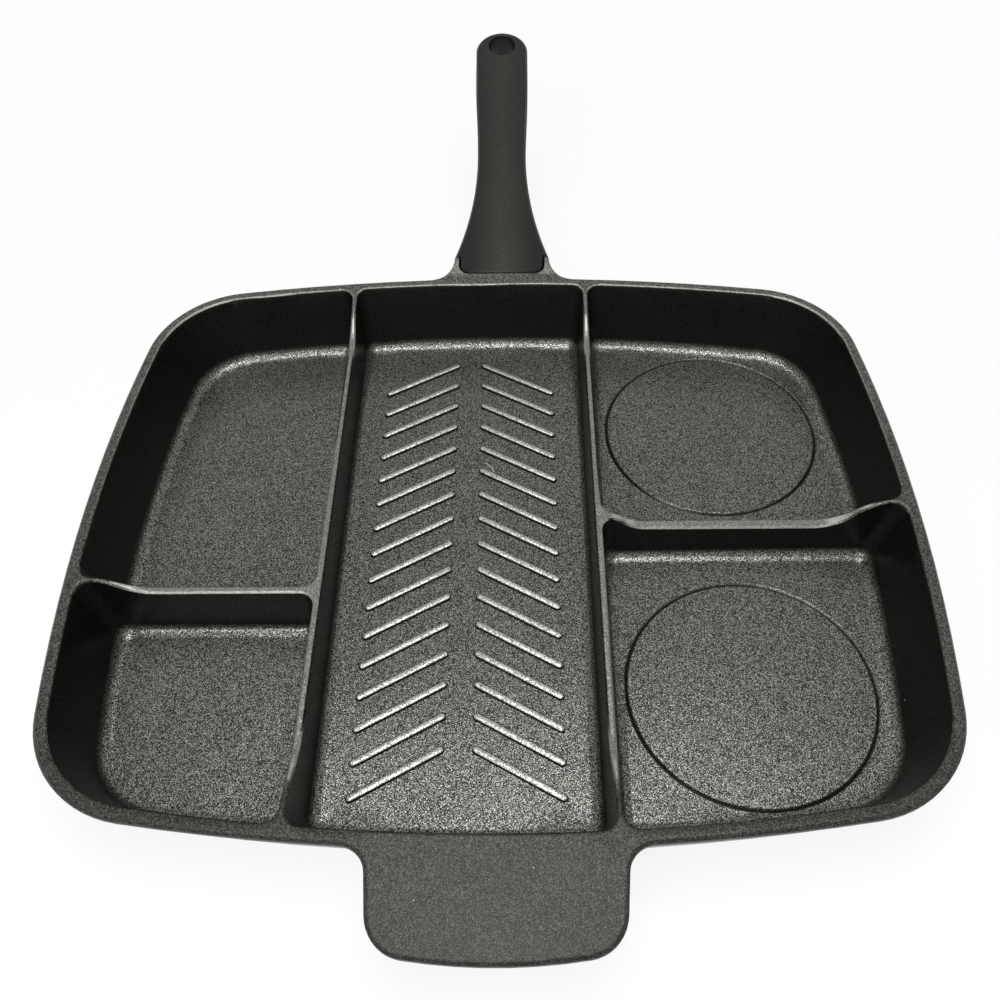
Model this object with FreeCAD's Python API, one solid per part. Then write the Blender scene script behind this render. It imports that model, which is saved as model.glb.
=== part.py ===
import FreeCAD, Part
import math
import os
from FreeCAD import Vector

# Millimetres. X runs across the pan, Y towards the handle and Z up.
# The origin is the centre of the flat base.

pan_half_width = 190.6
pan_half_length = 157.8
side_arc_radius = 822.0
end_arc_radius = 965.0
corner_radius = 50.3
rim_height = 40.0
rim_width = 5.4
rim_thickness = 4.4
rim_top_bevel = 1.2
rim_underside_bevel = 1.1
wall_thickness = 3.8
wall_draft = 15.5
floor_thickness = 4.0
base_rounding = 7.0
base_bevel_steps = 3

divider_thickness = 2.0
divider_draft = 3.5
cross_divider_thickness = 1.8
cross_divider_draft = 5.0
divider_top_height = 30.4
left_divider_x = -80.0
right_divider_x = 45.5
divider_flat_setback = 49.8
divider_rise_setback = 11.8
left_cross_y = -40.0
left_cross_flat_setback = 38.6
left_cross_rise_setback = 8.6
right_cross_y = 0.4
right_cross_height = 22.6
right_cross_drop_start = 1.7
right_cross_drop_end = 22.5
right_cross_flat_setback = 44.6
right_cross_rise_setback = 7.6
pocket_corner_radius = 6.6
floor_corner_radius = 5.8
floor_corner_steps = 3
least_corner_radius = 0.5
top_edge_bevel = 0.75

rib_pitch = 15.25
rib_angle = 30.0
rib_span = 45.4
rib_width = 2.4
rib_height = 1.0
rib_root = 0.6
rib_end_facets = 4
rib_column_shift = -0.25
rib_inner_gap = 6.0
rib_rear_setback = 32.3
rib_front_setback = 50.0

ring_wall_gap = 3.7
ring_groove_width = 2.2
ring_groove_depth = 0.9
ring_shift_x = -2.7
ring_rear_shift = -4.8
ring_front_shift = 2.4

base_groove_radii = [60.0, 110.0]
base_groove_width = 1.6
base_groove_depth = 0.5

tab_half_width = 45.2
tab_root_half_width = 48.6
tab_length = 39.8
tab_front_radius = 220.0
tab_corner_radius = 16.0
tab_root_radius = 11.0

root_overlap = 27.8
handle_front_gap = 2.9
handle_front_rise = 0.6
handle_slope = 0.29
handle_length = 176.6
handle_depth = 19.6
handle_end_radius = 15.6
plug_half_width = 23.7
plug_length = 10.6
plug_corner_radius = 5.6
handle_waist_half_width = 14.0
handle_swell_length = 61.3
handle_tail_length = 19.8
handle_top_bevel = 1.2
handle_bottom_rounding = 4.0

neck_half_width = 26.2
neck_length = 15.2
neck_root_radius = 15.0
neck_ramp_radius = 14.0
neck_ramp_setback = 0.8
neck_bottom_setback = 14.8
neck_bottom_front_z = 11.0
neck_bottom_rear_z = 23.2
neck_underside_rounding = 7.0
saddle_clearance = 0.12

tang_width = 20.0
tang_height = 7.6
tang_drop = 9.8
tang_front_setback = 5.8
tang_length = 45.3
tang_rounding = 2.4
socket_clearance = 0.1

hang_hole_radius = 7.9
hang_hole_setback = 10.5
hang_hole_flare = 0.7

screw_distance = 29.3
screw_shank_radius = 2.45
screw_bore_clearance = 0.05
screw_depth_in_tang = 6.2
screw_head_radius = 4.5
screw_head_height = 2.5
screw_recess_width = 1.1
screw_recess_length = 4.6
screw_recess_depth = 1.3
screw_passage_radius = 2.9
washer_outer_radius = 4.9
washer_inner_radius = 2.75
washer_thickness = 0.9
washer_split = 0.8
washer_seat_wall = 2.2
counterbore_radius = 5.5

tab_reach = pan_half_length + tab_length
neck_rear_y = pan_half_length + neck_length
neck_ramp_start = pan_half_length - neck_ramp_setback
handle_front_y = pan_half_length + handle_front_gap
handle_front_z = rim_height + handle_front_rise
tang_front_y = pan_half_length - tang_front_setback
tang_rear_y = handle_front_y + tang_length
screw_y = handle_front_y + screw_distance


def prism(wire, height):
    return Part.Face(wire).extrude(Vector(0, 0, height))


def closed_wire(points):
    return Part.makePolygon(list(points) + [points[0]])


def corner_centre():
    reach_end = end_arc_radius - corner_radius
    reach_side = side_arc_radius - corner_radius
    end_centre = Vector(0, pan_half_length - end_arc_radius, 0)
    side_centre = Vector(pan_half_width - side_arc_radius, 0, 0)
    link = side_centre - end_centre
    gap = link.Length
    along = (reach_end ** 2 - reach_side ** 2 + gap ** 2) / (2 * gap)
    across = math.sqrt(reach_end ** 2 - along ** 2)
    unit = Vector(link.x / gap, link.y / gap, 0)
    foot = end_centre + unit * along
    first = foot + Vector(-unit.y, unit.x, 0) * across
    second = foot - Vector(-unit.y, unit.x, 0) * across
    centre = first if first.x > 0 and first.y > 0 else second
    return centre, end_centre, side_centre


def arc(centre, radius, start, end, z):
    circle = Part.Circle(Vector(centre.x, centre.y, z), Vector(0, 0, 1), radius)
    return Part.ArcOfCircle(circle, start, end).toShape()


def rim_edges(inset, z):
    centre, end_centre, side_centre = corner_centre()
    from_end = centre - end_centre
    from_side = centre - side_centre
    end_angle = math.atan2(from_end.y, from_end.x)
    side_angle = math.atan2(from_side.y, from_side.x)
    end_radius = end_arc_radius - inset
    side_radius = side_arc_radius - inset
    corner = corner_radius - inset
    half_turn = math.pi
    whole = 2 * math.pi
    mirrored = Vector(-centre.x, centre.y, 0)
    return [
        arc(side_centre, side_radius, -side_angle, side_angle, z),
        arc(centre, corner, side_angle, end_angle, z),
        arc(end_centre, end_radius, end_angle, half_turn - end_angle, z),
        arc(mirrored, corner, half_turn - end_angle, half_turn - side_angle, z),
        arc(side_centre * -1, side_radius, half_turn - side_angle, half_turn + side_angle, z),
        arc(centre * -1, corner, half_turn + side_angle, half_turn + end_angle, z),
        arc(end_centre * -1, end_radius, half_turn + end_angle, whole - end_angle, z),
        arc(mirrored * -1, corner, whole - end_angle, whole - side_angle, z),
    ]


def rim_outline(inset, z):
    return Part.Wire(rim_edges(inset, z))


def ruled_solid(levels):
    return Part.makeLoft([Part.Wire(edges) for edges in levels], True, True)


def polygon_edges(points):
    return [Part.makeLine(first, second) for first, second in zip(points, points[1:] + points[:1])]


def edges_where(shape, test):
    return [edge for edge in shape.Edges if test(edge)]


def is_upright(edge):
    low = edge.BoundBox
    return low.ZLength > 0.85 * edge.Length and edge.Length > 2.0


def is_behind(edge):
    return edge.BoundBox.Center.y > pan_half_length - 1.5 * rim_width


def side_prism(points, half_width):
    wire = closed_wire([Vector(-half_width, y, z) for y, z in points])
    return Part.Face(wire).extrude(Vector(2 * half_width, 0, 0))


def handle_top(y):
    return handle_front_z + handle_slope * (y - handle_front_y)


def rim_plate():
    low = rim_height - rim_thickness
    tall = 22.0
    plate = prism(rim_outline(0, low), rim_thickness)
    front_y = -tab_reach
    drop = tab_half_width ** 2 / (2 * tab_front_radius)
    left = Vector(-tab_half_width, front_y + drop, low)
    right = Vector(tab_half_width, front_y + drop, low)
    taper = (tab_root_half_width - tab_half_width) / (-pan_half_length - left.y)
    inner_y = root_overlap - pan_half_length
    inner_half = tab_root_half_width + taper * root_overlap
    rear_left = Vector(-inner_half, inner_y, low)
    rear_right = Vector(inner_half, inner_y, low)
    tab_wire = Part.Wire([
        Part.Arc(left, Vector(0, front_y, low), right).toShape(),
        Part.makeLine(right, rear_right),
        Part.makeLine(rear_right, rear_left),
        Part.makeLine(rear_left, left),
    ])
    plate = plate.fuse(prism(tab_wire, rim_thickness))
    neck = Part.makeBox(2 * neck_half_width, neck_rear_y + inner_y, tall,
                        Vector(-neck_half_width, -inner_y, low))
    rim_core = prism(rim_outline(0, low), tall)
    neck = neck.fuse(rim_core).removeSplitter()
    neck = neck.makeFillet(neck_root_radius, edges_where(
        neck, lambda edge: is_upright(edge) and is_behind(edge)
        and abs(abs(edge.BoundBox.Center.x) - neck_half_width) < 0.5
        and edge.BoundBox.Center.y < neck_rear_y - 2))
    slab = Part.makeBox(4 * pan_half_width, 3 * neck_rear_y, rim_thickness,
                        Vector(-2 * pan_half_width, 0, low))
    lower = neck.common(slab)
    ramp_angle = math.atan(handle_slope)
    ramp_y = neck_ramp_start + neck_ramp_radius * math.sin(ramp_angle)
    ramp_z = rim_height + neck_ramp_radius * (1 - math.cos(ramp_angle))
    half_angle = ramp_angle / 2
    side = 2 * neck_half_width + neck_root_radius
    ramp_mid = Vector(-side, neck_ramp_start + neck_ramp_radius * math.sin(half_angle),
                      rim_height + neck_ramp_radius * (1 - math.cos(half_angle)))
    far_y = neck_rear_y + 5
    far_z = ramp_z + handle_slope * (far_y - ramp_y)
    arc_start = Vector(-side, neck_ramp_start, rim_height)
    arc_end = Vector(-side, ramp_y, ramp_z)
    far = Vector(-side, far_y, far_z)
    foot = Vector(-side, far_y, low)
    near = Vector(-side, neck_ramp_start, low)
    ramp_wire = Part.Wire([
        Part.Arc(arc_start, ramp_mid, arc_end).toShape(),
        Part.makeLine(arc_end, far),
        Part.makeLine(far, foot),
        Part.makeLine(foot, near),
        Part.makeLine(near, arc_start),
    ])
    ramp = Part.Face(ramp_wire).extrude(Vector(2 * side, 0, 0))
    raised = neck.common(ramp)
    plate = plate.fuse([lower, raised]).removeSplitter()
    plate = plate.makeFillet(tab_root_radius, edges_where(
        plate, lambda edge: is_upright(edge)
        and tab_half_width < abs(edge.BoundBox.Center.x) < inner_half
        and abs(edge.BoundBox.Center.y) < 0.5 * (tab_reach + pan_half_length)))
    plate = plate.makeFillet(tab_corner_radius, edges_where(
        plate, lambda edge: is_upright(edge)
        and edge.BoundBox.Center.y < -0.5 * (tab_reach + pan_half_length)
        and abs(edge.BoundBox.Center.x) > tab_half_width - 0.5))
    return plate


def bevel_plate(plate):
    def on_level(edge, z):
        return abs(edge.BoundBox.ZMin - z) < 0.01 and abs(edge.BoundBox.ZMax - z) < 0.01

    top = edges_where(plate, lambda edge: edge.BoundBox.ZMin > rim_height - 0.01
                      and not (abs(edge.BoundBox.Center.x) < 1 and is_behind(edge))
                      and edge.BoundBox.Center.y < neck_rear_y - 0.5
                      and not crosses_neck(edge))
    plate = plate.makeChamfer(rim_top_bevel, top)
    low = rim_height - rim_thickness
    bottom = edges_where(plate, lambda edge: on_level(edge, low)
                         and not (abs(edge.BoundBox.Center.x) < neck_half_width + neck_root_radius
                                  and is_behind(edge)))
    return plate.makeChamfer(rim_underside_bevel, bottom)


def crosses_neck(edge):
    box = edge.BoundBox
    return box.YLength < 0.01 and is_behind(edge) and abs(box.Center.x) < 5


def neck_block():
    front_y = pan_half_length - neck_bottom_setback
    points = [
        (front_y, neck_bottom_front_z),
        (neck_rear_y, neck_bottom_rear_z),
        (neck_rear_y, rim_height),
        (front_y, rim_height - rim_thickness / 2),
    ]
    block = side_prism(points, neck_half_width)
    under = edges_where(block, lambda edge: abs(abs(edge.BoundBox.Center.x)
                                                - neck_half_width) < 0.1
                        and edge.BoundBox.YLength > 10
                        and edge.BoundBox.Center.z < neck_bottom_rear_z)
    return block.makeFillet(neck_underside_rounding, under)


def outer_inset(z):
    return rim_width - wall_thickness + (rim_height - rim_thickness - z) * math.tan(
        math.radians(wall_draft))


def foot_reach(z, draft):
    lean = math.radians(draft)
    height = z - floor_thickness
    if height >= floor_corner_radius * (1 - math.sin(lean)):
        return 0.0
    centre = floor_corner_radius * (1 - math.sin(lean)) / math.cos(lean)
    arc_reach = math.sqrt(height * (2 * floor_corner_radius - height))
    return centre - arc_reach + height * math.tan(lean)


def inner_inset(z):
    lean = math.tan(math.radians(wall_draft))
    return rim_width + (rim_height - z) * lean + foot_reach(z, wall_draft)


def outer_body():
    lean = math.radians(wall_draft)
    levels = []
    for step in range(base_bevel_steps + 1):
        turn = (math.pi / 2 - lean) * step / base_bevel_steps
        rise_here = base_rounding * (1 - math.cos(turn))
        foot = outer_inset(base_rounding * (1 - math.sin(lean))) + base_rounding * math.cos(lean)
        levels.append(rim_edges(foot - base_rounding * math.sin(turn), rise_here))
    high = rim_height - rim_thickness + 1.0
    levels.append(rim_edges(outer_inset(high), high))
    return ruled_solid(levels)


def divider_half(z):
    lean = math.tan(math.radians(divider_draft))
    return divider_thickness / 2 + (rim_height - z) * lean + foot_reach(z, divider_draft)


def cross_half(z):
    lean = math.tan(math.radians(cross_divider_draft))
    return cross_divider_thickness / 2 + (rim_height - z) * lean + foot_reach(z, cross_divider_draft)


def pocket_outline(bounds, z):
    x_low, x_high, y_low, y_high = bounds(z)
    inside = Part.Face(closed_wire([
        Vector(x_low, y_low, z),
        Vector(x_high, y_low, z),
        Vector(x_high, y_high, z),
        Vector(x_low, y_high, z),
    ]))
    area = inside.common(Part.Face(rim_outline(inner_inset(z), z))).Faces[0]
    radius = max(pocket_corner_radius - foot_reach(z, divider_draft), least_corner_radius)
    core = area.makeOffset2D(-radius)
    return core.makeOffset2D(radius).Wires[0]


def pocket(bounds):
    sweep = math.pi / 2 - math.radians(divider_draft)
    levels = []
    for step in range(floor_corner_steps + 1):
        turn = sweep * step / floor_corner_steps
        levels.append(floor_thickness + floor_corner_radius * (1 - math.cos(turn)))
    levels.append(rim_height + 2.0)
    return Part.makeLoft([pocket_outline(bounds, z) for z in levels], True, True)


def pockets():
    far = 2 * pan_half_width
    left = left_divider_x
    right = right_divider_x
    return [
        pocket(lambda z: (left + divider_half(z), right - divider_half(z), -far, far)),
        pocket(lambda z: (-far, left - divider_half(z), left_cross_y + cross_half(z), far)),
        pocket(lambda z: (-far, left - divider_half(z), -far, left_cross_y - cross_half(z))),
        pocket(lambda z: (right + divider_half(z), far, right_cross_y + cross_half(z), far)),
        pocket(lambda z: (right + divider_half(z), far, -far, right_cross_y - cross_half(z))),
    ]


def rise(start, end, low, high, place):
    run = (end - start) / 2
    climb = (high - low) / 2
    radius = (run ** 2 + climb ** 2) / (2 * abs(climb))
    half_turn = math.asin(abs(run) / radius) / 2
    step = math.copysign(radius * math.sin(half_turn), run)
    lift = math.copysign(radius * (1 - math.cos(half_turn)), climb)
    middle = place(start + run, low + climb)
    first = Part.Arc(place(start, low), place(start + step, low + lift), middle)
    second = Part.Arc(middle, place(end - step, high - lift), place(end, high))
    return [first.toShape(), second.toShape()]


def saddle(marks, place, sweep):
    edges = []
    for first, second in zip(marks[:-1], marks[1:]):
        if abs(first[1] - second[1]) < 0.001:
            edges.append(Part.makeLine(place(*first), place(*second)))
        else:
            edges += rise(first[0], second[0], first[1], second[1], place)
    above = rim_height + 20
    last = marks[-1]
    first = marks[0]
    edges.append(Part.makeLine(place(*last), place(last[0], above)))
    edges.append(Part.makeLine(place(last[0], above), place(first[0], above)))
    edges.append(Part.makeLine(place(first[0], above), place(*first)))
    return Part.Face(Part.Wire(edges)).extrude(sweep)


def saddles():
    reach = divider_thickness + pocket_corner_radius
    flat_end = pan_half_length - divider_flat_setback
    rise_end = pan_half_length - divider_rise_setback
    along = [
        (-rise_end, rim_height),
        (-flat_end, divider_top_height),
        (flat_end, divider_top_height),
        (rise_end, rim_height),
    ]
    drop_start = right_divider_x + right_cross_drop_start
    left = saddle(along, lambda y, z: Vector(left_divider_x - reach, y, z), Vector(2 * reach, 0, 0))
    right_width = drop_start - right_divider_x + reach
    right = saddle(along, lambda y, z: Vector(right_divider_x - reach, y, z),
                   Vector(right_width, 0, 0))
    left_cross = saddle(
        [
            (left_cross_rise_setback - pan_half_width, rim_height),
            (left_cross_flat_setback - pan_half_width, divider_top_height),
            (left_divider_x - reach, divider_top_height),
        ],
        lambda x, z: Vector(x, left_cross_y - reach, z), Vector(0, 2 * reach, 0))
    right_cross = saddle(
        [
            (drop_start, divider_top_height),
            (right_divider_x + right_cross_drop_end, right_cross_height),
            (pan_half_width - right_cross_flat_setback, right_cross_height),
            (pan_half_width - right_cross_rise_setback, rim_height),
        ],
        lambda x, z: Vector(x, right_cross_y - reach, z), Vector(0, 2 * reach, 0))
    return [left, right, left_cross, right_cross]


def bevel_divider_tops(body):
    tops = []
    for face in body.Faces:
        low, high, left, right = face.ParameterRange
        normal = face.normalAt((low + high) / 2, (left + right) / 2)
        if normal.z > 0.6 and face.BoundBox.ZMin > right_cross_height - 0.5:
            tops.append(face)
    region = Part.Face(rim_outline(rim_width / 2 + 1.5, rim_height))
    chosen = []
    for index, face in enumerate(tops):
        for edge in face.Edges:
            shared = sum(1 for other in tops if any(edge.isSame(test) for test in other.Edges))
            middle = edge.valueAt((edge.FirstParameter + edge.LastParameter) / 2)
            flat = Vector(middle.x, middle.y, rim_height)
            if shared == 1 and region.isInside(flat, 0.01, True):
                if not any(edge.isSame(test) for test in chosen):
                    chosen.append(edge)
    return body.makeChamfer(top_edge_bevel, chosen)


def rib_level(side, z):
    half = (rib_span - rib_width) / 2
    points = []
    for end in (1, -1):
        for step in range(rib_end_facets + 1):
            turn = math.pi * (step / rib_end_facets - 0.5)
            points.append(Vector(end * (half + side * math.cos(turn)), end * side * math.sin(turn), z))
    return polygon_edges(points)


def rib():
    side = rib_width / 2
    return ruled_solid([
        rib_level(side, -rib_root),
        rib_level(side, 0.4 * rib_height),
        rib_level(0.55 * side, rib_height),
    ])


def ribs():
    bars = []
    angle = math.radians(rib_angle)
    run = rib_span * math.cos(angle)
    drop = rib_span * math.sin(angle)
    column_x = (left_divider_x + right_divider_x) / 2 + rib_column_shift
    rear_y = pan_half_length - rib_rear_setback
    rows = int((2 * pan_half_length - rib_rear_setback - rib_front_setback) / rib_pitch) + 1
    for side in (-1, 1):
        for row in range(rows):
            bar = rib()
            bar.rotate(Vector(0, 0, 0), Vector(0, 0, 1), -side * rib_angle)
            inner_y = rear_y - row * rib_pitch
            bar.translate(Vector(
                column_x + side * (rib_inner_gap + run / 2),
                inner_y - drop / 2,
                floor_thickness))
            bars.append(bar)
    return bars


def groove(radius, width, depth, centre, upwards):
    sign = 1 if upwards else -1
    points = [
        Vector(radius - width / 2, 0, sign * 0.05),
        Vector(radius + width / 2, 0, sign * 0.05),
        Vector(radius, 0, -sign * depth),
    ]
    cutter = Part.Face(closed_wire(points)).revolve(Vector(0, 0, 0), Vector(0, 0, 1), 360)
    cutter.translate(centre)
    return cutter


def ring_grooves():
    inner_x = right_divider_x + divider_half(floor_thickness)
    outer_x = pan_half_width - inner_inset(floor_thickness)
    end_y = pan_half_length - inner_inset(floor_thickness)
    cross = cross_half(floor_thickness)
    half_x = (outer_x - inner_x) / 2
    half_y = (end_y - abs(right_cross_y) - cross) / 2
    radius = min(half_x, half_y) - ring_wall_gap
    place_x = (inner_x + outer_x) / 2 + ring_shift_x
    rear_y = (right_cross_y + pan_half_length) / 2 + ring_rear_shift
    front_y = (right_cross_y - pan_half_length) / 2 + ring_front_shift
    return [
        groove(radius, ring_groove_width, ring_groove_depth,
               Vector(place_x, place_y, floor_thickness), True)
        for place_y in (rear_y, front_y)
    ]


def handle_axis_box(width, height, start_y, end_y, drop):
    length = (end_y - start_y) * math.sqrt(1 + handle_slope ** 2)
    box = Part.makeBox(width, length, height, Vector(-width / 2, 0, -height / 2))
    box = box.makeFillet(tang_rounding, edges_where(
        box, lambda edge: edge.BoundBox.YLength > 10))
    box.rotate(Vector(0, 0, 0), Vector(1, 0, 0), math.degrees(math.atan(handle_slope)))
    box.translate(Vector(0, start_y, handle_top(start_y) - drop))
    return box


def on_screw_axis(shape):
    shape.rotate(Vector(0, 0, 0), Vector(1, 0, 0), math.degrees(math.atan(handle_slope)))
    shape.translate(Vector(0, screw_y, handle_top(screw_y) - tang_drop))
    return shape


def along_handle(shape):
    shape.rotate(Vector(0, 0, 0), Vector(1, 0, 0), math.degrees(math.atan(handle_slope)))
    shape.translate(Vector(0, handle_front_y, handle_front_z))
    return shape


def turned_arc(centre, radius, start, end):
    marks = [start, (start + end) / 2, end]
    points = [centre + Vector(radius * math.cos(turn), radius * math.sin(turn), 0) for turn in marks]
    return Part.Arc(points[0], points[1], points[2]).toShape()


def handle_waist():
    from_end = handle_end_radius + handle_tail_length + handle_swell_length
    return Vector(handle_waist_half_width, handle_length - from_end, 0)


def plug_edges(clearance):
    side = plug_half_width + clearance
    flat = plug_half_width - plug_corner_radius
    centre = Vector(flat, plug_corner_radius, 0)
    step = plug_length - clearance
    return [
        Part.makeLine(Vector(0, -clearance, 0), Vector(flat, -clearance, 0)),
        turned_arc(centre, plug_corner_radius + clearance, -math.pi / 2, 0),
        Part.makeLine(Vector(side, plug_corner_radius, 0), Vector(side, step, 0)),
    ]


def handle_side():
    waist = handle_waist()
    shoulder = Vector(neck_half_width, plug_length, 0)
    inward = shoulder.x - waist.x
    onward = waist.y - shoulder.y
    flare = (inward ** 2 + onward ** 2) / (2 * inward)
    lean = math.asin(onward / flare)
    run = handle_swell_length / 2
    swell = (handle_end_radius - handle_waist_half_width) / 2
    radius = (run ** 2 + swell ** 2) / (2 * swell)
    turn = math.asin(run / radius)
    grip = Vector(handle_end_radius, waist.y + handle_swell_length, 0)
    return [
        Part.makeLine(Vector(plug_half_width, plug_length, 0), shoulder),
        turned_arc(waist + Vector(flare, 0, 0), flare, math.pi + lean, math.pi),
        turned_arc(waist + Vector(radius, 0, 0), radius, math.pi, math.pi - turn),
        turned_arc(grip - Vector(radius, 0, 0), radius, -turn, 0),
        Part.makeLine(grip, grip + Vector(0, handle_tail_length, 0)),
    ]


def mirrored(edges):
    return [edge.mirror(Vector(0, 0, 0), Vector(1, 0, 0)) for edge in edges]


def outline_prism(edges, depth):
    wire = Part.Wire(Part.__sortEdges__(edges))
    form = prism(wire, depth)
    form.translate(Vector(0, 0, -depth))
    return form


def handle_form():
    side = plug_edges(0) + handle_side()
    end = turned_arc(Vector(0, handle_length - handle_end_radius, 0), handle_end_radius, 0, math.pi)
    form = outline_prism(side + mirrored(side) + [end], handle_depth)
    top = edges_where(form, lambda edge: edge.BoundBox.ZMin > -0.01)
    form = form.makeChamfer(handle_top_bevel, top)
    bottom = edges_where(form, lambda edge: edge.BoundBox.ZMax < 0.01 - handle_depth)
    return along_handle(form.makeFillet(handle_bottom_rounding, bottom))


def saddle_cutter():
    side = plug_half_width + saddle_clearance
    wide = neck_half_width + neck_root_radius
    step = plug_length - saddle_clearance
    far = plug_length + handle_depth
    edges = plug_edges(saddle_clearance)
    edges.append(Part.makeLine(Vector(side, step, 0), Vector(wide, step, 0)))
    edges.append(Part.makeLine(Vector(wide, step, 0), Vector(wide, far, 0)))
    edges.append(Part.makeLine(Vector(wide, far, 0), Vector(0, far, 0)))
    cutter = outline_prism(edges + mirrored(edges), 4 * handle_depth)
    cutter.translate(Vector(0, 0, 2 * handle_depth))
    return along_handle(cutter)


def pan_body():
    plate = bevel_plate(rim_plate())
    body = outer_body()
    body = body.fuse([plate, neck_block()])
    body = body.cut(saddle_cutter())
    tang = handle_axis_box(tang_width, tang_height, tang_front_y, tang_rear_y, tang_drop)
    tang = tang.cut(prism(rim_outline(rim_width, 0), 3 * rim_height))
    body = body.fuse(tang).removeSplitter()
    bore = Part.makeCylinder(screw_shank_radius + screw_bore_clearance, 40, Vector(0, 0, -20))
    body = body.cut(on_screw_axis(bore))
    body = body.cut(pockets())
    body = body.cut(saddles())
    body = bevel_divider_tops(body)
    body = body.fuse(ribs())
    cutters = ring_grooves()
    for radius in base_groove_radii:
        cutters.append(groove(radius, base_groove_width, base_groove_depth, Vector(0, 0, 0), False))
    body = body.cut(cutters)
    return body


def handle():
    body = handle_form()
    socket = handle_axis_box(
        tang_width + 2 * socket_clearance, tang_height + 2 * socket_clearance,
        tang_front_y, tang_rear_y + socket_clearance, tang_drop)
    body = body.cut(socket)
    seat = tang_height / 2 + washer_seat_wall
    passage = Part.makeCylinder(screw_passage_radius, seat, Vector(0, 0, -seat))
    recess = Part.makeCylinder(counterbore_radius, 20, Vector(0, 0, -seat - 20))
    body = body.cut([on_screw_axis(passage), on_screw_axis(recess)])
    hole_place = Vector(0, handle_length - hang_hole_setback, 0)
    widest = hang_hole_radius + 3 * hang_hole_flare
    mouth = 3 * hang_hole_flare
    tools = [
        Part.makeCylinder(hang_hole_radius, 2 * handle_depth, Vector(0, 0, -1.5 * handle_depth)),
        Part.makeCone(hang_hole_radius, widest, mouth, Vector(0, 0, -hang_hole_flare)),
        Part.makeCone(widest, hang_hole_radius, mouth,
                      Vector(0, 0, -handle_depth - 2 * hang_hole_flare)),
    ]
    for tool in tools:
        tool.translate(hole_place)
        along_handle(tool)
    return body.cut(tools)


def washer_level():
    return -(tang_height / 2 + washer_seat_wall)


def washer():
    level = washer_level()
    ring = Part.makeCylinder(washer_outer_radius, washer_thickness,
                             Vector(0, 0, level - washer_thickness))
    ring = ring.cut(Part.makeCylinder(washer_inner_radius, 4, Vector(0, 0, level - 2)))
    slot = Part.makeBox(washer_split, washer_outer_radius + 1, 4,
                        Vector(-washer_split / 2, 0, level - 2))
    slot.rotate(Vector(0, 0, level), Vector(0, 1, 0), 20)
    return on_screw_axis(ring.cut(slot))


def handle_screw():
    seat = washer_level() - washer_thickness
    tip = -tang_height / 2 + screw_depth_in_tang
    shank = Part.makeCylinder(screw_shank_radius, tip - seat, Vector(0, 0, seat))
    shank = shank.makeChamfer(0.6, edges_where(shank, lambda edge: edge.BoundBox.ZMin > tip - 0.01))
    head = Part.makeCylinder(screw_head_radius, screw_head_height,
                             Vector(0, 0, seat - screw_head_height))
    head = head.makeChamfer(screw_head_height * 0.4, edges_where(
        head, lambda edge: edge.BoundBox.ZMax < seat - screw_head_height + 0.01))
    screw = shank.fuse(head).removeSplitter()
    for turn in (0, 90):
        slot = Part.makeBox(screw_recess_length, screw_recess_width, screw_recess_depth,
                            Vector(-screw_recess_length / 2, -screw_recess_width / 2,
                                   seat - screw_head_height))
        slot.rotate(Vector(0, 0, 0), Vector(0, 0, 1), turn)
        screw = screw.cut(slot)
    return on_screw_axis(screw)


os.makedirs("parts", exist_ok=True)
parts = [
    ("pan_body", pan_body),
    ("handle", handle),
    ("washer", washer),
    ("handle_screw", handle_screw),
]
for name, build in parts:
    shape = build()
    print(name, "solids", len(shape.Solids), "valid", shape.isValid(),
          "volume", round(shape.Volume / 1000, 1), "cm3")
    shape.exportStep("parts/" + name + ".step")
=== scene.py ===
import bmesh
import bpy
import math
from mathutils import Matrix, Vector


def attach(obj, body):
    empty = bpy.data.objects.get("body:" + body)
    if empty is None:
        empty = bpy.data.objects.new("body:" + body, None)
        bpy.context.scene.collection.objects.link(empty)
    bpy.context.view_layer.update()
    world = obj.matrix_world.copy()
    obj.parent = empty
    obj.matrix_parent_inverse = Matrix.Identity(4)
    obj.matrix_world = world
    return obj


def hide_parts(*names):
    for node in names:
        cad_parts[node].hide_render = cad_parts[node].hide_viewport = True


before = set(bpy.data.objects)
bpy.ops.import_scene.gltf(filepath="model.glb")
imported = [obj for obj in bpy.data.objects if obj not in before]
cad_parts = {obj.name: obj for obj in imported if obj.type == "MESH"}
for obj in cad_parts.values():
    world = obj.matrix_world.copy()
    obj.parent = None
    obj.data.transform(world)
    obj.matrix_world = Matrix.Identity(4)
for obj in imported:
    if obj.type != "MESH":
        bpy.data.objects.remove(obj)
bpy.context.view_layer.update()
scene = bpy.context.scene


# Camera, at the photograph's viewing angle

cameraView = {
    "place": (0.00888, -0.28385, 0.40608),
    "elevation": 52.035,
    "azimuth": 0.851,
    "roll": -1.026,
    "focalPixels": 1013.3,
    "centreX": 509.85,
    "centreY": 499.82,
    "imagePixels": 1000.0,
    "sensor": 36.0,
    "clipStart": 0.01,
}


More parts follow.
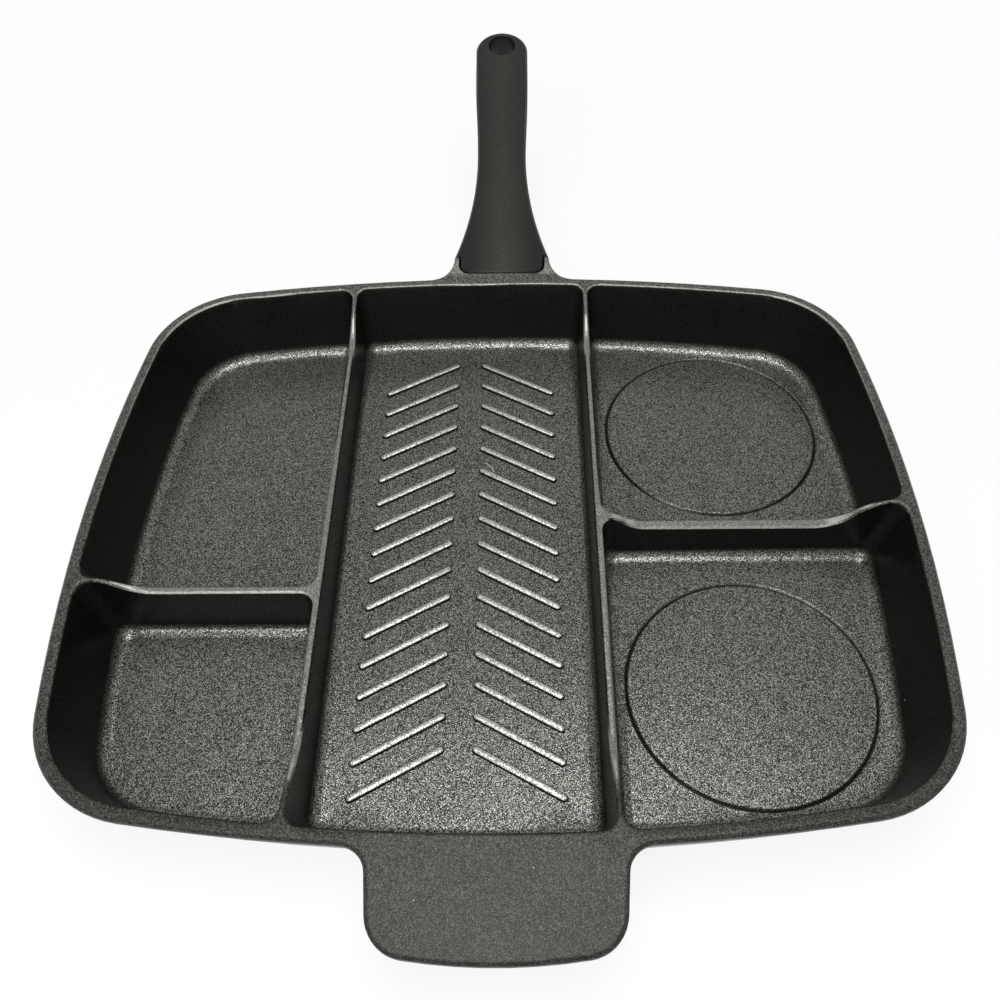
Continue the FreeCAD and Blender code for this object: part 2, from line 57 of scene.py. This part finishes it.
def addCamera():
    v = cameraView
    elevation = math.radians(v["elevation"])
    azimuth = math.radians(v["azimuth"])
    roll = math.radians(v["roll"])
    back = Vector((math.sin(azimuth) * math.cos(elevation),
                   -math.cos(azimuth) * math.cos(elevation),
                   math.sin(elevation)))
    level = Vector((math.cos(azimuth), math.sin(azimuth), 0))
    upright = back.cross(level)
    right = level * math.cos(roll) + upright * math.sin(roll)
    up = upright * math.cos(roll) - level * math.sin(roll)
    data = bpy.data.cameras.new("camera")
    data.sensor_width = v["sensor"]
    data.lens = v["focalPixels"] / v["imagePixels"] * v["sensor"]
    data.shift_x = (v["imagePixels"] / 2 - v["centreX"]) / v["imagePixels"]
    data.shift_y = (v["centreY"] - v["imagePixels"] / 2) / v["imagePixels"]
    data.clip_start = v["clipStart"]
    camera = bpy.data.objects.new("camera", data)
    turn = Matrix((right, up, back)).transposed().to_4x4()
    camera.matrix_world = Matrix.Translation(Vector(v["place"])) @ turn
    scene.collection.objects.link(camera)
    scene.camera = camera


# Small helpers for node trees

def newMaterial(name):
    material = bpy.data.materials.new(name)
    material.use_nodes = True
    tree = material.node_tree
    shader = tree.nodes["Principled BSDF"]
    return material, tree, shader


def addNode(tree, kind, **settings):
    node = tree.nodes.new(kind)
    for key, value in settings.items():
        setattr(node, key, value)
    return node


def rampBetween(tree, source, low, dark, high, pale):
    ramp = addNode(tree, "ShaderNodeValToRGB")
    first, last = ramp.color_ramp.elements
    first.position, first.color = low, (*dark, 1)
    last.position, last.color = high, (*pale, 1)
    tree.links.new(source, ramp.inputs["Fac"])
    return ramp.outputs["Color"]


def mapRange(tree, source, low, high, outLow, outHigh):
    node = addNode(tree, "ShaderNodeMapRange")
    node.inputs["From Min"].default_value = low
    node.inputs["From Max"].default_value = high
    node.inputs["To Min"].default_value = outLow
    node.inputs["To Max"].default_value = outHigh
    tree.links.new(source, node.inputs["Value"])
    return node.outputs["Result"]


def calculate(tree, operation, first, second=0.0):
    node = addNode(tree, "ShaderNodeMath", operation=operation)
    for socket, source in zip(node.inputs, (first, second)):
        if isinstance(source, (int, float)):
            socket.default_value = source
        else:
            tree.links.new(source, socket)
    return node.outputs[0]


def product(tree, first, second):
    return calculate(tree, "MULTIPLY", first, second)


def noiseTexture(tree, place, scale, detail):
    texture = addNode(tree, "ShaderNodeTexNoise")
    texture.inputs["Scale"].default_value = scale
    texture.inputs["Detail"].default_value = detail
    tree.links.new(place, texture.inputs["Vector"])
    return texture.outputs["Fac"]


def cellTexture(tree, place, scale):
    texture = addNode(tree, "ShaderNodeTexVoronoi")
    texture.inputs["Scale"].default_value = scale
    tree.links.new(place, texture.inputs["Vector"])
    tone = addNode(tree, "ShaderNodeSeparateColor")
    tree.links.new(texture.outputs["Color"], tone.inputs["Color"])
    return texture.outputs["Distance"], tone.outputs["Red"], tone.outputs["Green"]


def splitAxes(tree, vector):
    node = addNode(tree, "ShaderNodeSeparateXYZ")
    tree.links.new(vector, node.inputs["Vector"])
    return node.outputs["X"], node.outputs["Y"], node.outputs["Z"]


def addBump(tree, height, normal, strength, distance):
    bump = addNode(tree, "ShaderNodeBump")
    bump.inputs["Strength"].default_value = strength
    bump.inputs["Distance"].default_value = distance
    tree.links.new(height, bump.inputs["Height"])
    tree.links.new(normal, bump.inputs["Normal"])
    return bump.outputs["Normal"]


def blendColour(tree, share, source, colour):
    mix = addNode(tree, "ShaderNodeMix", data_type="RGBA")
    tree.links.new(share, mix.inputs["Factor"])
    tree.links.new(source, mix.inputs["A"])
    mix.inputs["B"].default_value = (*colour, 1)
    return mix.outputs["Result"]


def distanceTo(tree, place, point):
    node = addNode(tree, "ShaderNodeVectorMath", operation="DISTANCE")
    tree.links.new(place, node.inputs[0])
    node.inputs[1].default_value = point
    return node.outputs["Value"]


# The coating: black, with metal flakes in it, a little dust and one scratch, paler crests that
# are partly wear and partly painted highlight, and painted shade on steep faces, on the rim
# towards the tab and below the floor

coating = {
    "dark": (0.0008, 0.0010, 0.0009),
    "mid": (0.0028, 0.0032, 0.0027),
    "tint": (0.95, 1.0, 0.90),
    "specular": 0.22,
    "grainScale": 2100.0,
    "grainDetail": 2.0,
    "grainDark": 0.35,
    "grainPale": 0.68,
    "grainBump": 0.6,
    "grainDepth": 0.00012,
    "cloudScale": 14.0,
    "cloudDetail": 4.0,
    "cloudLow": 0.3,
    "cloudHigh": 0.7,
    # roughness, with how far clouds, flakes and crests change it
    "floorRough": 0.25,
    "rimRough": 0.36,
    "cloudRough": 0.03,
    "flakeRough": 0.08,
    "crestRough": 0.22,
    # flakes: one tone for each cell; fewer on steep faces and, on the rim, towards the tab,
    # which paints shade there
    "flake": (0.62, 0.636, 0.566),
    "flakeScale": 3500.0,
    "flakeStart": 0.48,
    "flakeFull": 1.0,
    "flakeMost": 0.5,
    "steepTurn": 0.35,
    "flatTurn": 0.75,
    "steepShadedFlakes": 0.04,
    "rimStart": 0.0372,
    "rimFull": 0.0392,
    "rimFrontY": -0.21,
    "rimRearY": 0.17,
    "rimFrontShadedFlakes": 0.20,
    "rimRearFlakes": 0.95,
    # painted shade: below the floor's top, in the beds of the round grooves and under the pan,
    # the colour is near black
    "paintedBedShade": (0.0003, 0.0003, 0.0003),
    "grooveBed": 0.0032,
    "grooveTop": 0.0039,
    # divider tops and the rear of the rim, paler metal where they are rounded: on the divider
    # tops partly wear and partly painted highlight, on the rim's rounded edges a painted
    # highlight that grows towards the rear
    "crestWearAndHighlight": (0.38, 0.386, 0.360),
    "crestLow": 0.012,
    "crestHigh": 0.016,
    "crestFade": 0.001,
    "crestTurn": 0.88,
    "crestFlat": 0.99,
    "crestPatch": 0.6,
    "crestOnFlat": 0.32,
    "edgeTurn": 0.60,
    "edgeSteep": 0.80,
    "edgeFlat": 0.93,
    "edgeLevel": 0.985,
    "edgeHighlight": 0.55,
    "highlightFrontY": -0.02,
    "highlightRearY": 0.13,
    # softened edges, wider on the rim
    "edgeSamples": 6,
    "edgeStart": 0.026,
    "edgeFull": 0.034,
    "floorEdgeRadius": 0.0003,
    "rimEdgeRadius": 0.0014,
    # dust, and a short curved scratch between the rib columns
    "speckScale": 75.0,
    "speckRadius": 0.022,
    "speckChance": 0.80,
    "speckColour": (0.42, 0.42, 0.40),
    "scratchCentre": (-0.0122, 0.04655, 0.004),
    "scratchRadius": 0.0083,
    "scratchWidth": 0.0002,
    "scratchMiddle": (-0.0058, 0.0514, 0.004),
    "scratchReach": 0.0036,
}

# the same coating on the grill ribs, paler and more metallic: partly rubbed wear, partly a
# painted highlight, with painted shade on their steep sides
ribWearAndSheen = {
    "flake": (0.56, 0.572, 0.52),
    "flakeScale": 2300.0,
    "flakeStart": -0.20,
    "flakeMost": 0.90,
    "floorRough": 0.36,
    "steepTurn": 0.74,
    "flatTurn": 0.92,
    "steepShadedFlakes": 0.0,
}


def flakesWithPaintedShade(tree, c, tone, spotY, up, onRim):
    share = mapRange(tree, tone, c["flakeStart"], c["flakeFull"], 0.0, c["flakeMost"])
    # painted shade: on the rim the flakes thin out towards the tab at the front
    rimFrontShade = mapRange(tree, spotY, c["rimFrontY"], c["rimRearY"],
                         c["rimFrontShadedFlakes"] - 1.0, c["rimRearFlakes"] - 1.0)
    rimShadeFactor = calculate(tree, "ADD", 1.0, product(tree, onRim, rimFrontShade))
    # painted shade: flakes thin out on steep faces, so walls and rib sides are darker
    steepShadeFactor = mapRange(tree, up, c["steepTurn"], c["flatTurn"], c["steepShadedFlakes"], 1.0)
    return product(tree, product(tree, share, rimShadeFactor), steepShadeFactor)


def crestAndHighlightShare(tree, c, tone, spotY, spotZ, up, onRim):
    belowRim = mapRange(tree, spotZ, c["rimStart"] - c["crestFade"], c["rimStart"], 1.0, 0.0)
    onCrest = mapRange(tree, spotZ, c["crestLow"], c["crestHigh"], 0.0, 1.0)
    onCrest = product(tree, onCrest, belowRim)
    level = mapRange(tree, up, c["crestTurn"], c["crestFlat"], 0.0, c["crestOnFlat"])
    rounded = product(tree, mapRange(tree, up, c["edgeTurn"], c["edgeSteep"], 0.0, 1.0),
                      mapRange(tree, up, c["edgeFlat"], c["edgeLevel"], 1.0, 0.0))
    # paler metal on the rounded divider tops: partly wear, partly painted highlight
    crestWearAndHighlight = product(tree, onCrest, calculate(tree, "MAXIMUM", level, rounded))
    rimHighlightRamp = mapRange(tree, spotY, c["highlightFrontY"], c["highlightRearY"], 0.0, c["edgeHighlight"])
    # painted highlight: the rim's rounded edges grow paler towards the rear
    rimEdgeHighlight = product(tree, rounded, product(tree, onRim, rimHighlightRamp))
    patchy = mapRange(tree, tone, 0.0, 1.0, c["crestPatch"], 1.0)
    return product(tree, calculate(tree, "MAXIMUM", crestWearAndHighlight, rimEdgeHighlight), patchy)


def marksShare(tree, c, place):
    distance, tone, _ = cellTexture(tree, place, c["speckScale"])
    dusty = product(tree, calculate(tree, "GREATER_THAN", tone, c["speckChance"]),
                    calculate(tree, "LESS_THAN", distance, c["speckRadius"]))
    fromCentre = distanceTo(tree, place, c["scratchCentre"])
    offLine = calculate(tree, "SUBTRACT", fromCentre, c["scratchRadius"])
    offLine = calculate(tree, "ABSOLUTE", offLine)
    line = calculate(tree, "LESS_THAN", offLine, c["scratchWidth"])
    within = calculate(tree, "LESS_THAN", distanceTo(tree, place, c["scratchMiddle"]),
                       c["scratchReach"])
    return calculate(tree, "MAXIMUM", dusty, product(tree, line, within))


def makeCoating(name, changes):
    c = {**coating, **changes}
    material, tree, shader = newMaterial(name)
    where = addNode(tree, "ShaderNodeTexCoord")
    place = where.outputs["Object"]
    _, spotY, spotZ = splitAxes(tree, place)
    _, _, up = splitAxes(tree, where.outputs["Normal"])
    grain = noiseTexture(tree, place, c["grainScale"], c["grainDetail"])
    clouds = noiseTexture(tree, place, c["cloudScale"], c["cloudDetail"])
    _, tone, shade = cellTexture(tree, place, c["flakeScale"])
    onRim = mapRange(tree, spotZ, c["rimStart"], c["rimFull"], 0.0, 1.0)
    # painted shade: near black below the floor's top, in the groove beds and under the pan
    belowFloorShade = mapRange(tree, spotZ, c["grooveBed"], c["grooveTop"], 1.0, 0.0)
    share = flakesWithPaintedShade(tree, c, tone, spotY, up, onRim)
    crestWearAndHighlight = crestAndHighlightShare(tree, c, tone, spotY, spotZ, up, onRim)
    marks = marksShare(tree, c, place)

    base = rampBetween(tree, grain, c["grainDark"], c["dark"], c["grainPale"], c["mid"])
    # flakes with painted shade, then paler crests (partly wear, partly painted highlight),
    # then painted shade below the floor, then dust
    base = blendColour(tree, share, base, c["flake"])
    base = blendColour(tree, crestWearAndHighlight, base, c["crestWearAndHighlight"])
    base = blendColour(tree, belowFloorShade, base, c["paintedBedShade"])
    base = blendColour(tree, marks, base, c["speckColour"])
    tree.links.new(base, shader.inputs["Base Color"])

    metal = calculate(tree, "MAXIMUM", crestWearAndHighlight, product(tree, share, 1.0 / c["flakeMost"]))
    clean = calculate(tree, "SUBTRACT", 1.0, marks)
    tree.links.new(product(tree, metal, clean), shader.inputs["Metallic"])

    rough = mapRange(tree, spotZ, c["rimStart"], c["rimFull"], c["floorRough"], c["rimRough"])
    cloudy = mapRange(tree, clouds, c["cloudLow"], c["cloudHigh"],
                      -c["cloudRough"], c["cloudRough"])
    sandy = mapRange(tree, shade, 0.0, 1.0, -c["flakeRough"], c["flakeRough"])
    for change in (cloudy, sandy, product(tree, crestWearAndHighlight, c["crestRough"])):
        rough = calculate(tree, "ADD", rough, change)
    tree.links.new(rough, shader.inputs["Roughness"])
    shader.inputs["Specular IOR Level"].default_value = c["specular"]
    shader.inputs["Specular Tint"].default_value = (*c["tint"], 1)

    edge = addNode(tree, "ShaderNodeBevel", samples=c["edgeSamples"])
    radius = mapRange(tree, spotZ, c["edgeStart"], c["edgeFull"],
                      c["floorEdgeRadius"], c["rimEdgeRadius"])
    tree.links.new(radius, edge.inputs["Radius"])
    normal = addBump(tree, grain, edge.outputs["Normal"], c["grainBump"], c["grainDepth"])
    tree.links.new(normal, shader.inputs["Normal"])
    return material


# The handle: a matt moulding with a fine skin, with painted shade towards its sides, so it is
# paler along its middle

moulding = {
    "dark": (0.0012, 0.0012, 0.0010),
    "light": (0.0300, 0.0306, 0.0268),
    "side": (0.0006, 0.0007, 0.0006),
    "sideX": 0.0165,
    "sideShadeShare": 0.9,
    "skinScale": 1500.0,
    "skinDetail": 3.0,
    "skinDark": 0.3,
    "skinPale": 0.75,
    "skinBump": 0.45,
    "skinDepth": 0.0002,
    "rubScale": 22.0,
    "rubDetail": 2.0,
    "rubLow": 0.3,
    "rubHigh": 0.7,
    "roughLow": 0.34,
    "roughHigh": 0.43,
    "specular": 0.24,
    "tint": (0.97, 1.0, 0.90),
    "crown": 8.0,
    "edgeSamples": 6,
    "edgeRadius": 0.0008,
}


def makeMoulding():
    m = moulding
    material, tree, shader = newMaterial("mouldedHandle")
    place = addNode(tree, "ShaderNodeTexCoord").outputs["Object"]
    spotX, _, _ = splitAxes(tree, place)
    skin = noiseTexture(tree, place, m["skinScale"], m["skinDetail"])
    rub = noiseTexture(tree, place, m["rubScale"], m["rubDetail"])
    base = rampBetween(tree, skin, m["skinDark"], m["dark"], m["skinPale"], m["light"])
    # painted shade: the colour darkens towards the handle's sides
    towardsSideShade = mapRange(tree, calculate(tree, "ABSOLUTE", spotX),
                      0.0, m["sideX"], 0.0, m["sideShadeShare"])
    tree.links.new(blendColour(tree, towardsSideShade, base, m["side"]), shader.inputs["Base Color"])
    rough = mapRange(tree, rub, m["rubLow"], m["rubHigh"], m["roughLow"], m["roughHigh"])
    tree.links.new(rough, shader.inputs["Roughness"])
    shader.inputs["Specular IOR Level"].default_value = m["specular"]
    shader.inputs["Specular Tint"].default_value = (*m["tint"], 1)
    edge = addNode(tree, "ShaderNodeBevel", samples=m["edgeSamples"])
    edge.inputs["Radius"].default_value = m["edgeRadius"]
    fall = product(tree, calculate(tree, "POWER", spotX, 2.0), -m["crown"])
    crowned = addBump(tree, fall, edge.outputs["Normal"], 1.0, 1.0)
    normal = addBump(tree, skin, crowned, m["skinBump"], m["skinDepth"])
    tree.links.new(normal, shader.inputs["Normal"])
    return material


# Plated steel for the screw and its spring washer

plating = {
    "dark": (0.36, 0.36, 0.35),
    "light": (0.60, 0.60, 0.58),
    "markScale": 420.0,
    "markDetail": 5.0,
    "markLow": 0.3,
    "markHigh": 0.7,
    "roughLow": 0.22,
    "roughHigh": 0.42,
}


def makePlating(name):
    p = plating
    material, tree, shader = newMaterial(name)
    place = addNode(tree, "ShaderNodeTexCoord").outputs["Object"]
    marks = noiseTexture(tree, place, p["markScale"], p["markDetail"])
    base = rampBetween(tree, marks, p["markLow"], p["dark"], p["markHigh"], p["light"])
    rough = mapRange(tree, marks, p["markLow"], p["markHigh"], p["roughLow"], p["roughHigh"])
    tree.links.new(base, shader.inputs["Base Color"])
    tree.links.new(rough, shader.inputs["Roughness"])
    shader.inputs["Metallic"].default_value = 1.0
    return material


# A smooth-shaded copy of a CAD node, with its loose triangles joined

smoothing = {
    "joinDistance": 0.000002,
    "creaseAngle": 38.0,
    "faceWeight": 90,
}


def asPlainMesh(piece):
    scene.view_layers[0].update()
    graph = bpy.context.evaluated_depsgraph_get()
    return bpy.data.meshes.new_from_object(piece.evaluated_get(graph))


def smoothCopy(node, name, material):
    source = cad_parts[node]
    mesh = source.data.copy()
    mesh.name = name
    work = bmesh.new()
    work.from_mesh(mesh)
    bmesh.ops.remove_doubles(work, verts=work.verts, dist=smoothing["joinDistance"])
    limit = math.radians(smoothing["creaseAngle"])
    for face in work.faces:
        face.smooth = True
    for edge in work.edges:
        edge.smooth = len(edge.link_faces) == 2 and edge.calc_face_angle(math.pi) < limit
    work.to_mesh(mesh)
    work.free()
    mesh.materials.clear()
    mesh.materials.append(material)
    piece = bpy.data.objects.new(name, mesh)
    scene.collection.objects.link(piece)
    flatten = piece.modifiers.new("faceNormals", "WEIGHTED_NORMAL")
    flatten.keep_sharp = True
    flatten.weight = smoothing["faceWeight"]
    piece.data = asPlainMesh(piece)
    piece.modifiers.clear()
    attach(piece, "root")
    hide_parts(node)


# The grill ribs: two columns of rounded bars that lean towards the middle

grillRibs = {
    "rows": 16,
    "pitch": 0.01525,
    "rearY": 0.1255,
    "columnX": -0.0175,
    "innerGap": 0.006,
    "lean": 30.0,
    "span": 0.0457,
    "width": 0.0038,
    "height": 0.0014,
    "fullness": 0.72,
    "floorZ": 0.004,
    "segments": 24,
    "rings": 10,
}


def addSocket(tree, name, kind, value):
    socket = tree.interface.new_socket(name, in_out="INPUT", socket_type=kind)
    if value is not None:
        socket.default_value = value


def combine(tree, **axes):
    node = addNode(tree, "ShaderNodeCombineXYZ")
    for axis, source in axes.items():
        if isinstance(source, (int, float)):
            node.inputs[axis].default_value = source
        else:
            tree.links.new(source, node.inputs[axis])
    return node.outputs["Vector"]


def ownPosition(tree):
    return splitAxes(tree, addNode(tree, "GeometryNodeInputPosition").outputs["Position"])


def ribBar(tree, given):
    g = grillRibs
    ball = addNode(tree, "GeometryNodeMeshUVSphere")
    ball.inputs["Segments"].default_value = g["segments"]
    ball.inputs["Rings"].default_value = g["rings"]
    ball.inputs["Radius"].default_value = 1.0
    ballX, ballY, ballZ = ownPosition(tree)
    fuller = calculate(tree, "POWER", calculate(tree, "ABSOLUTE", ballZ), given["fullness"])
    fuller = product(tree, fuller, calculate(tree, "SIGN", ballZ))
    full = addNode(tree, "GeometryNodeSetPosition")
    tree.links.new(ball.outputs["Mesh"], full.inputs["Geometry"])
    tree.links.new(combine(tree, X=ballX, Y=ballY, Z=fuller), full.inputs["Position"])

    # turned by half a segment, so that no side vertex lies at x = 0 where the halves part
    shaped = addNode(tree, "GeometryNodeTransform")
    shaped.inputs["Rotation"].default_value = (0, 0, math.pi / g["segments"])
    half = product(tree, given["width"], 0.5)
    tree.links.new(full.outputs["Geometry"], shaped.inputs["Geometry"])
    tree.links.new(combine(tree, X=half, Y=half, Z=given["height"]), shaped.inputs["Scale"])
    reach = product(tree, calculate(tree, "SUBTRACT", given["span"], given["width"]), 0.5)
    spotX, _, _ = ownPosition(tree)
    shift = product(tree, calculate(tree, "SIGN", spotX), reach)
    bar = addNode(tree, "GeometryNodeSetPosition")
    tree.links.new(shaped.outputs["Geometry"], bar.inputs["Geometry"])
    tree.links.new(combine(tree, X=shift), bar.inputs["Offset"])
    return bar.outputs["Geometry"]


def ribColumn(tree, given, bar, sign):
    run = product(tree, given["span"], calculate(tree, "COSINE", given["lean"]))
    drop = product(tree, given["span"], calculate(tree, "SINE", given["lean"]))
    across = calculate(tree, "ADD", given["innerGap"], product(tree, run, 0.5))
    shift = combine(tree, X=product(tree, across, sign), Y=product(tree, drop, -0.5))
    start = addNode(tree, "ShaderNodeVectorMath", operation="ADD")
    tree.links.new(given["first"], start.inputs[0])
    tree.links.new(shift, start.inputs[1])
    line = addNode(tree, "GeometryNodeMeshLine")
    tree.links.new(given["rows"], line.inputs["Count"])
    tree.links.new(start.outputs["Vector"], line.inputs["Start Location"])
    tree.links.new(combine(tree, Y=product(tree, given["pitch"], -1.0)), line.inputs["Offset"])
    turned = combine(tree, Z=product(tree, given["lean"], -sign))
    copies = addNode(tree, "GeometryNodeInstanceOnPoints")
    tree.links.new(line.outputs["Mesh"], copies.inputs["Points"])
    tree.links.new(bar, copies.inputs["Instance"])
    tree.links.new(turned, copies.inputs["Rotation"])
    return copies.outputs["Instances"]


def ribTree():
    g = grillRibs
    tree = bpy.data.node_groups.new("ribColumns", "GeometryNodeTree")
    tree.interface.new_socket("Geometry", in_out="OUTPUT", socket_type="NodeSocketGeometry")
    addSocket(tree, "rows", "NodeSocketInt", g["rows"])
    for name in ("pitch", "span", "width", "height", "innerGap", "fullness"):
        addSocket(tree, name, "NodeSocketFloat", g[name])
    addSocket(tree, "lean", "NodeSocketFloat", math.radians(g["lean"]))
    addSocket(tree, "first", "NodeSocketVector", (g["columnX"], g["rearY"], g["floorZ"]))
    addSocket(tree, "finish", "NodeSocketMaterial", None)
    given = addNode(tree, "NodeGroupInput").outputs
    bar = ribBar(tree, given)
    join = addNode(tree, "GeometryNodeJoinGeometry")
    for sign in (-1.0, 1.0):
        tree.links.new(ribColumn(tree, given, bar, sign), join.inputs["Geometry"])
    real = addNode(tree, "GeometryNodeRealizeInstances")
    smooth = addNode(tree, "GeometryNodeSetShadeSmooth")
    finish = addNode(tree, "GeometryNodeSetMaterial")
    out = addNode(tree, "NodeGroupOutput")
    tree.links.new(given["finish"], finish.inputs["Material"])
    for source, target in ((join, real), (real, smooth), (smooth, finish), (finish, out)):
        tree.links.new(source.outputs["Geometry"], target.inputs["Geometry"])
    return tree


def addRibs(material):
    ribs = bpy.data.objects.new("grillRibs", bpy.data.meshes.new("grillRibs"))
    scene.collection.objects.link(ribs)
    tree = ribTree()
    columns = ribs.modifiers.new("columns", "NODES")
    columns.node_group = tree
    finish = [item for item in tree.interface.items_tree if item.name == "finish"][0]
    columns[finish.identifier] = material
    ribs.data = asPlainMesh(ribs)
    ribs.modifiers.clear()
    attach(ribs, "root")


# Floor, sky and light

stageSettings = {
    "floorSize": 6.0,
    "floorColour": (0.90, 0.90, 0.90),
    "floorRough": 0.9,
    "floorDrop": 0.0003,
    "shadowShare": 0.12,
    "shadowFull": 0.30,
    "shadowEnd": 0.75,
    "worldFill": 0.10,
}

lamps = {
    "ceiling": {
        "place": (0.03, -0.10, 1.15),
        "aim": (0.03, -0.1001, 0.0),
        "width": 0.72,
        "height": 0.78,
        "watts": 12.5,
    },
    "front": {
        "place": (-0.35, -0.75, 0.8),
        "aim": (0.0, 0.0, 0.02),
        "width": 0.8,
        "height": 0.4,
        "watts": 5.0,
    },
}


def addLamps():
    for name, settings in lamps.items():
        data = bpy.data.lights.new(name + "Lamp", "AREA")
        data.shape = "RECTANGLE"
        data.size = settings["width"]
        data.size_y = settings["height"]
        data.energy = settings["watts"]
        lamp = bpy.data.objects.new(name + "Lamp", data)
        lamp.location = settings["place"]
        beam = Vector(settings["aim"]) - Vector(settings["place"])
        lamp.rotation_euler = beam.to_track_quat("-Z", "Y").to_euler()
        scene.collection.objects.link(lamp)


# 1 for camera and mirror rays, which see a white floor and sky, 0 for the light that falls
def seenDirectly(tree):
    rays = addNode(tree, "ShaderNodeLightPath")
    total = rays.outputs["Is Camera Ray"]
    for name in ("Is Glossy Ray", "Is Transmission Ray"):
        total = calculate(tree, "MAXIMUM", total, rays.outputs[name])
    return total


def addWorld():
    world = bpy.data.worlds.new("studio")
    scene.world = world
    world.use_nodes = True
    tree = world.node_tree
    background = tree.nodes["Background"]
    background.inputs["Color"].default_value = (1, 1, 1, 1)
    strength = mapRange(tree, seenDirectly(tree), 0, 1, stageSettings["worldFill"], 1.0)
    tree.links.new(strength, background.inputs["Strength"])


def addFloor():
    s = stageSettings
    half = s["floorSize"] / 2
    low = -s["floorDrop"]
    mesh = bpy.data.meshes.new("floor")
    corners = [(-half, -half, low), (half, -half, low), (half, half, low), (-half, half, low)]
    mesh.from_pydata(corners, [], [(0, 1, 2, 3)])
    floor = bpy.data.objects.new("floor", mesh)
    scene.collection.objects.link(floor)
    material, tree, shader = newMaterial("paleFloor")
    shader.inputs["Base Color"].default_value = (*s["floorColour"], 1)
    shader.inputs["Roughness"].default_value = s["floorRough"]
    glow = addNode(tree, "ShaderNodeEmission")
    away = distanceTo(tree, addNode(tree, "ShaderNodeTexCoord").outputs["Object"], (0, 0, 0))

    # shadows show only near the pan, and even there faintly
    clear = mapRange(tree, away, s["shadowFull"], s["shadowEnd"], 1 - s["shadowShare"], 1.0)
    share = addNode(tree, "ShaderNodeMixShader")
    tree.links.new(product(tree, seenDirectly(tree), clear), share.inputs["Fac"])
    tree.links.new(shader.outputs["BSDF"], share.inputs[1])
    tree.links.new(glow.outputs["Emission"], share.inputs[2])
    tree.links.new(share.outputs["Shader"], tree.nodes["Material Output"].inputs["Surface"])
    mesh.materials.append(material)


addCamera()
addWorld()
addLamps()
addFloor()
print("stage ready")

smoothCopy("pan_body", "castPan", makeCoating("nonStickCoating", {}))
# the ribs get the paler coating: partly wear, partly painted highlight, with painted shade on
# their sides
addRibs(makeCoating("ribWearAndSheenCoating", ribWearAndSheen))
smoothCopy("handle", "grip", makeMoulding())
smoothCopy("washer", "springWasher", makePlating("washerPlating"))
smoothCopy("handle_screw", "handleScrew", makePlating("screwPlating"))
print("pieces ready")

scene.view_settings.view_transform = "Standard"
